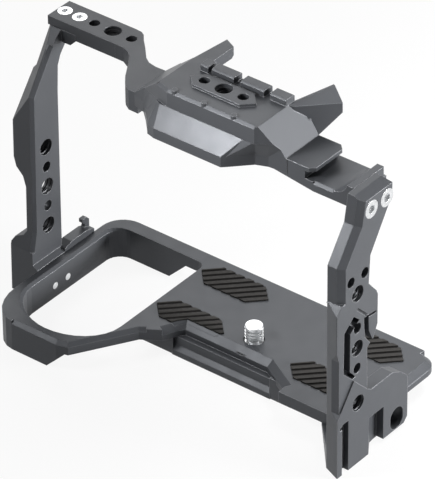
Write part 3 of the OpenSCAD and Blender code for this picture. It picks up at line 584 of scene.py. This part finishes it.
@dataclass
class PlateFront:
    """The plate's front in millimetres: the pad that stops at the recess, its rim, and the foot's ends."""

    recess: tuple[Pair, ...] = ((-27.6, -15.0), (-24.7, -9.2), (-23.4, -7.6), (11.5, -7.6))
    bevel: float = 2.3
    pad_gap: float = 0.3
    pad_middle: Pair = (-24.3, -4.0)
    pad_size: Pair = (29.0, 11.4)
    pad_flat_share: float = 0.31
    pad_in: float = 0.8
    pad_out: float = 0.5
    sheet_top: float = 0.05
    pocket_gap: float = 0.1
    rib_pitch: float = 2.857
    rib_share: float = 0.6
    rib_soft: float = 0.18
    foot_front: float = 11.3
    foot_back: float = 4.0
    foot_top: float = 3.0
    foot_bottom: float = 11.6
    sole_soft: float = 0.4
    sole_under: float = 1.0
    ends: tuple[Pair, ...] = ((-40.0, -26.2), (15.2, 24.4))
    same_place: float = 1e-3

    def meet(self, one: tuple[Vector, Vector], other: tuple[Vector, Vector]) -> Vector:
        """The point where two lines, each a point and a direction, cross."""
        across = Vector((-other[1].y, other[1].x))
        return one[0] + one[1] * ((other[0] - one[0]).dot(across) / one[1].dot(across))

    def set_back(self, gap: float, grow: float = 0.0) -> list[Vector]:
        """The recess's line moved into the plate and ended on the pad's outline.

        Args:
            gap: how far it is moved.
            grow: how far the pad's outline is taken outward.

        Returns:
            Where it meets the pad's front line, its two bends, and where it meets the pad's slanting side.
        """
        stretches = []
        for start, end in zip(self.recess, self.recess[1:]):
            way = (Vector(end) - Vector(start)).normalized()
            inward = Vector((-way.y, way.x))
            stretches.append((Vector(start) + inward * gap, way))
        bends = [self.meet(a, b) for a, b in zip(stretches, stretches[1:])]
        x, y = self.pad_middle
        tip = Vector((x + (self.pad_size[0] / 2 + grow), y))
        low = Vector((x + self.pad_flat_share * self.pad_size[0], y - (self.pad_size[1] / 2 + grow)))
        first = self.meet(stretches[0], (low, Vector((1, 0))))
        last = self.meet(stretches[-1], (low, (tip - low).normalized()))
        return [first, *bends, last]

    def pad_outline(self) -> list[Vector]:
        """The pad's outline.

        Returns:
            Its corners, with the notch where the recess passes.
        """
        x, y = self.pad_middle
        half_l, half_w = self.pad_size[0] / 2, self.pad_size[1] / 2
        flat = self.pad_flat_share * self.pad_size[0]
        return [
            Vector((x - half_l, y)), Vector((x - flat, y - half_w)),
            *self.set_back(self.bevel + self.pad_gap),
            Vector((x + half_l, y)), Vector((x + flat, y + half_w)), Vector((x - flat, y + half_w)),
        ]

    def block(self, corners: list[Vector], low: float, high: float) -> Mesh:
        """Makes an upright block.

        Args:
            corners: its outline.
            low: the height of its underside.
            high: the height of its top.

        Returns:
            The block's mesh.
        """
        mesh = bmesh.new()
        mesh.faces.new([mesh.verts.new((corner.x, corner.y, low)) for corner in corners])
        self.raised(mesh, high - low)
        return mesh

    def raised(self, mesh: Mesh, rise: float) -> None:
        """Raises the faces of a flat mesh and closes its sides.

        Args:
            mesh: the flat mesh.
            rise: how far they go up.
        """
        made = bmesh.ops.extrude_face_region(mesh, geom=mesh.faces[:], use_keep_orig=True)
        top = [item for item in made["geom"] if isinstance(item, bmesh.types.BMVert)]
        bmesh.ops.translate(mesh, vec=(0, 0, rise), verts=top)
        bmesh.ops.recalc_face_normals(mesh, faces=mesh.faces[:])

    def soften(self, mesh: Mesh, edges: list[bmesh.types.BMEdge], width: float) -> None:
        """Rounds some edges of a mesh by a width."""
        bmesh.ops.bevel(mesh, geom=edges, offset=width, segments=2, profile=0.5, affect="EDGES", material=-1)

    def settle(self, name: str, mesh: Mesh, material: Material) -> bpy.types.Object:
        """Scales a mesh from millimetres, makes its piece and lets it ride on the cage.

        Args:
            name: the piece's name.
            mesh: its mesh in millimetres.
            material: its finish.

        Returns:
            The piece.
        """
        bmesh.ops.scale(mesh, vec=(MM, MM, MM), verts=mesh.verts[:])
        piece = new_piece(name, mesh, material)
        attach(piece, BODY_CAGE)
        return piece

    def rib(self, middle: float) -> Mesh:
        """Cuts one slanting rib out of the pad's outline.

        Args:
            middle: how far it lies from the pad's middle, across the ribs.

        Returns:
            The rib's mesh, which is empty where it misses the pad.
        """
        across = Vector((-1, 1, 0)).normalized()
        half = self.rib_share * self.rib_pitch / 2
        mesh = bmesh.new()
        mesh.faces.new([mesh.verts.new((corner.x, corner.y, 0)) for corner in self.pad_outline()])
        for sign in (-1, 1):
            place = Vector((*self.pad_middle, 0)) + across * (middle + sign * half)
            bmesh.ops.bisect_plane(mesh, geom=[*mesh.verts, *mesh.edges, *mesh.faces], plane_co=place,
                                   plane_no=across * sign, clear_outer=True)
        if mesh.faces:
            self.raised(mesh, self.pad_out)
            rims = [edge for edge in mesh.edges if all(v.co.z > self.pad_out / 2 for v in edge.verts)]
            self.soften(mesh, rims, self.rib_soft)
        return mesh

    def pad(self, material: Material) -> None:
        """Builds the pad: a thin sheet under slanting ribs with softened tops.

        Args:
            material: its finish.
        """
        whole = self.block(self.pad_outline(), -self.pad_in, self.sheet_top)
        reach = round(self.pad_size[0] / self.rib_pitch)
        for step in range(-reach, reach + 1):
            pour(self.rib((step - 0.5 * self.rib_share) * self.rib_pitch), whole)
        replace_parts(self.settle("pad_front_left_ribbed", whole, material), "pad_front_left")

    def rim(self, material: Material) -> None:
        """Builds the sloping rim between the pad and the recess.

        Args:
            material: its finish.
        """
        depth = self.pad_in + self.pocket_gap
        back = self.set_back(self.bevel + self.pad_gap, self.pocket_gap)
        front = self.set_back(self.bevel - depth, self.pocket_gap)
        crest = self.set_back(self.bevel, self.pocket_gap)
        mesh = self.block([*back, *reversed(front)], -depth, 0)
        for low, high in zip(front, crest):
            for corner in mesh.verts:
                if corner.co.z > -depth / 2 and (corner.co.xy - low).length < self.same_place:
                    corner.co.xy = high
        self.settle("plate_rim", mesh, material)

    def foot_ends(self, material: Material) -> None:
        """Builds the foot's two ends, which run on under the plate on both sides of the flank.

        Args:
            material: their finish.
        """
        whole = bmesh.new()
        for start, end in self.ends:
            corners = [Vector((start, -self.foot_front)), Vector((end, -self.foot_front)),
                       Vector((end, self.foot_back)), Vector((start, self.foot_back))]
            part = self.block(corners, -self.foot_bottom, -self.foot_top)
            under = -self.foot_top - self.sole_under
            self.soften(part, [edge for edge in part.edges if all(v.co.z < under for v in edge.verts)],
                        self.sole_soft)
            pour(part, whole)
        self.settle("foot_ends", whole, material)

    def build(self, finishes: dict[Look, Material]) -> None:
        """Builds the pad, the rim and the foot's ends.

        Args:
            finishes: the materials by look.
        """
        self.pad(finishes[Look.RUBBER])
        self.rim(finishes[Look.RIM])
        self.foot_ends(finishes[Look.ANODISED])


@dataclass(frozen=True)
class Hole:
    """A threaded hole: its name, and its middle, axis and length in metres."""

    name: str
    middle: Triple
    axis: Triple
    length: float


@dataclass
class HoleThreads:
    """The cut threads inside the cage's threaded holes."""

    low_hole: Hole = Hole("grip_low", (-0.0891, -0.00555, 0.0138), (-1, 0, 0), 8.2 * MM)
    wall: float = 3.07 * MM
    crest: float = 2.72 * MM
    inset: float = 0.6 * MM
    cutter: ThreadCutter = field(default_factory=ThreadCutter)

    def holes(self, mounts: list[dict]) -> list[Hole]:
        """Lists the holes that get a thread.

        Args:
            mounts: the record's mounts, with the middle, axis and length of each hole.

        Returns:
            The record's threaded holes, and the grip's lowest one, which has no mount.
        """
        threaded = [mount for mount in mounts if mount["kind"] == "threaded_hole"]
        found = [Hole(mount["name"].replace("_thread", ""), mount["pos_m"], mount["axis"],
                      mount["dims"]["length_mm"] * MM) for mount in threaded]
        return [*found, self.low_hole]

    def build(self, mounts: list[dict], material: Material) -> None:
        """Builds one ridge for each hole.

        Args:
            mounts: the record's mounts.
            material: the ridges' finish, darkened as painted shade.
        """
        for hole in self.holes(mounts):
            mesh = bmesh.new()
            self.cutter.ridge(mesh, self.wall, self.crest, self.inset - hole.length / 2,
                              hole.length - 2 * self.inset)
            turn = Vector(hole.axis).to_track_quat("Z", "Y").to_matrix().to_4x4()
            place = Matrix.Translation(Vector(hole.middle))
            bmesh.ops.transform(mesh, matrix=place @ turn, verts=mesh.verts[:])
            piece = new_piece(f"thread_{hole.name}", mesh, material)
            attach(piece, BODY_CAGE)


@dataclass
class CagePlates:
    """The plates, uprights, pads and screws that the CAD gives, dressed in their finishes."""

    groups: tuple[tuple[Look, tuple[str, ...]], ...] = (
        (Look.ANODISED, ("base_plate", "top_plate", "grip_upright", "ports_upright")),
        (Look.RUBBER, ("pad_back_left", "pad_front_left", "pad_back_right", "pad_front_right",
                       "foot_pads_front", "foot_pads_back")),
        (Look.STEEL, ("bar_screws", "side_screws", "flange_screws", "slip_washer")),
        # the loop screws take the paler copy of the steel, which is painted light
        (Look.LIT_STEEL, ("loop_screws",)),
        (Look.SPRING, ("retaining_ring",)),
    )

    def dress(self, nodes: dict[str, bpy.types.Object], finishes: dict[Look, Material]) -> None:
        """Gives each CAD node its material.

        Args:
            nodes: the CAD nodes by name.
            finishes: the materials by look.
        """
        for look, names in self.groups:
            for name in names:
                data = nodes[name].data
                data.materials.clear()
                data.materials.append(finishes[look])
                LOG.info("node %s: %s", name, finishes[look].name)


@dataclass(frozen=True)
class SoftBox:
    """A lamp that looks at a point of the cage, or of the floor beside it.

    way and far give its direction and distance from that point, aim; beam is its angle in degrees.
    """

    name: str
    way: Triple
    far: float
    size: Pair
    watts: float
    aim: Triple = (-0.018, -0.006, 0.05)
    beam: float = 180

    def place(self) -> None:
        """Adds the lamp to the scene."""
        light = bpy.data.lights.new(self.name, "AREA")
        light.shape = "RECTANGLE"
        light.size, light.size_y = self.size
        light.energy = self.watts
        light.spread = math.radians(self.beam)
        box = bpy.data.objects.new(self.name, light)
        toward = Vector(self.way).normalized()
        box.location = Vector(self.aim) + toward * self.far
        box.visible_camera = False
        box.rotation_euler = toward.to_track_quat("Z", "Y").to_euler()
        bpy.context.scene.collection.objects.link(box)


@dataclass
class Studio:
    """Camera, lamps, world and floor; the camera's angles are in degrees and its shift in millimetres."""

    sensor: float = 36.0
    focal_px: float = 5000.0
    frame_w: int = 435
    far_clip: float = 50.0
    azimuth: float = 38.65182
    elevation: float = 34.86929
    roll: float = -0.54766
    shift: Triple = (12.32583, 33.43479, 1683.51729)
    sky: float = 0.03
    white: float = 1.0
    floor_z: float = -12 * MM
    floor_half: float = 6.0
    boxes: tuple[SoftBox, ...] = (
        SoftBox("right_box", (0.88, 0.46, 0.1), 1.5, (0.7, 0.3), 50),
        SoftBox("floor_box", (0, 0, 1), 0.5, (0.3, 0.3), 1.6, (0.24, 0.21, -12 * MM), 60),
        SoftBox("back_box", (-0.51, 0.64, 0.57), 1.8, (1.3, 1.3), 10.5),
        SoftBox("front_box", (-0.51, -0.57, 0.64), 1.2, (0.35, 0.35), 5.5),
        SoftBox("nose_box", (-0.51, -0.746, 0.438), 0.15, (0.04, 0.04), 0.06, (0.018, -0.026, 0.094), 70),
    )

    def camera(self) -> None:
        """Places the camera where the photograph was taken from."""
        a, e, r = (math.radians(v) for v in (self.azimuth, self.elevation, self.roll))
        right = Vector((math.cos(a), math.sin(a), 0))
        back = Vector((math.sin(a) * math.cos(e), -math.cos(a) * math.cos(e), math.sin(e)))
        down = -back.cross(right)
        x_row = math.cos(r) * right - math.sin(r) * down
        y_row = math.sin(r) * right + math.cos(r) * down
        tx, ty, tz = (v * MM for v in self.shift)
        place = -(x_row * tx + y_row * ty - back * tz)
        lens = bpy.data.cameras.new("camera")
        lens.sensor_fit = "HORIZONTAL"
        lens.sensor_width = self.sensor
        lens.lens = self.sensor * self.focal_px / self.frame_w
        lens.clip_end = self.far_clip
        camera = bpy.data.objects.new("camera", lens)
        turn = Matrix((x_row, -y_row, back)).transposed().to_4x4()
        camera.matrix_world = Matrix.Translation(place) @ turn
        bpy.context.scene.collection.objects.link(camera)
        bpy.context.scene.camera = camera

    def world(self) -> None:
        """Sets a dim sky that shows white to the camera and in reflections."""
        world = bpy.data.worlds.new("studio")
        world.use_nodes = True
        tree = world.node_tree
        tree.nodes.clear()
        out = tree.nodes.new("ShaderNodeOutputWorld")
        back = tree.nodes.new("ShaderNodeBackground")
        power = tree.nodes.new("ShaderNodeMapRange")
        power.inputs["To Min"].default_value = self.sky
        power.inputs["To Max"].default_value = self.white
        tree.links.new(seen_rays(tree), power.inputs["Value"])
        tree.links.new(power.outputs["Result"], back.inputs["Strength"])
        back.inputs["Color"].default_value = WHITE
        tree.links.new(back.outputs[0], out.inputs["Surface"])
        bpy.context.scene.world = world

    def floor(self) -> None:
        """Lays the pale floor."""
        mesh = bmesh.new()
        bmesh.ops.create_grid(mesh, x_segments=1, y_segments=1, size=self.floor_half)
        bmesh.ops.translate(mesh, vec=(0, 0, self.floor_z), verts=mesh.verts[:])
        new_piece("floor", mesh, FloorFinish().material(), smooth=False)

    def build(self) -> None:
        """Builds the whole studio."""
        bpy.context.scene.view_settings.view_transform = "Standard"
        self.camera()
        for box in self.boxes:
            box.place()
        self.world()
        self.floor()


def make_finishes() -> dict[Look, Material]:
    """Makes the finishes of all pieces.

    Returns:
        The materials by look.
    """
    stud = SteelFinish(name="bright_steel", roughness=0.34, edge_round=0.02 * MM)
    # painted light: a paler, less metallic copy of the steel, so that the loop screws show lit although they
    # sit in shadow
    zinc = SteelFinish(name="zinc_plate", colour=(0.8, 0.81, 0.82), roughness=0.5, metal=0.3)
    spring = SteelFinish(name="spring_steel", colour=(0.36, 0.36, 0.37), roughness=0.35)
    rim = AnodisedFinish(name="anodised_rim", edge_round=0.01 * MM)
    # painted shade: a darker copy of the anodised finish that stands in for the shade inside the threaded
    # holes; its edge colour is a dim painted highlight
    thread = AnodisedFinish(name="thread_flank", colour=(0.03, 0.031, 0.034), shade=(0.022, 0.023, 0.026),
                            edge=(0.07, 0.072, 0.078), edge_round=0.08 * MM)
    chosen = {
        Look.ANODISED: AnodisedFinish(), Look.STEEL: SteelFinish(), Look.STUD: stud, Look.LIT_STEEL: zinc,
        Look.SPRING: spring, Look.RUBBER: RubberFinish(), Look.RIM: rim, Look.THREAD: thread,
    }
    return {look: finish.material() for look, finish in chosen.items()}


def main() -> None:
    """Loads the frame and builds everything in order."""
    logging.basicConfig(level=logging.INFO, format="%(name)s: %(message)s")
    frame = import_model()
    Studio().build()
    finishes = make_finishes()
    CagePlates().dress(frame["nodes"], finishes)
    CameraScrew().build(finishes[Look.STUD])
    PlateFront().build(finishes)
    HoleThreads().build(frame["record"]["mounts"], finishes[Look.THREAD])


if __name__ == "__main__":
    main()
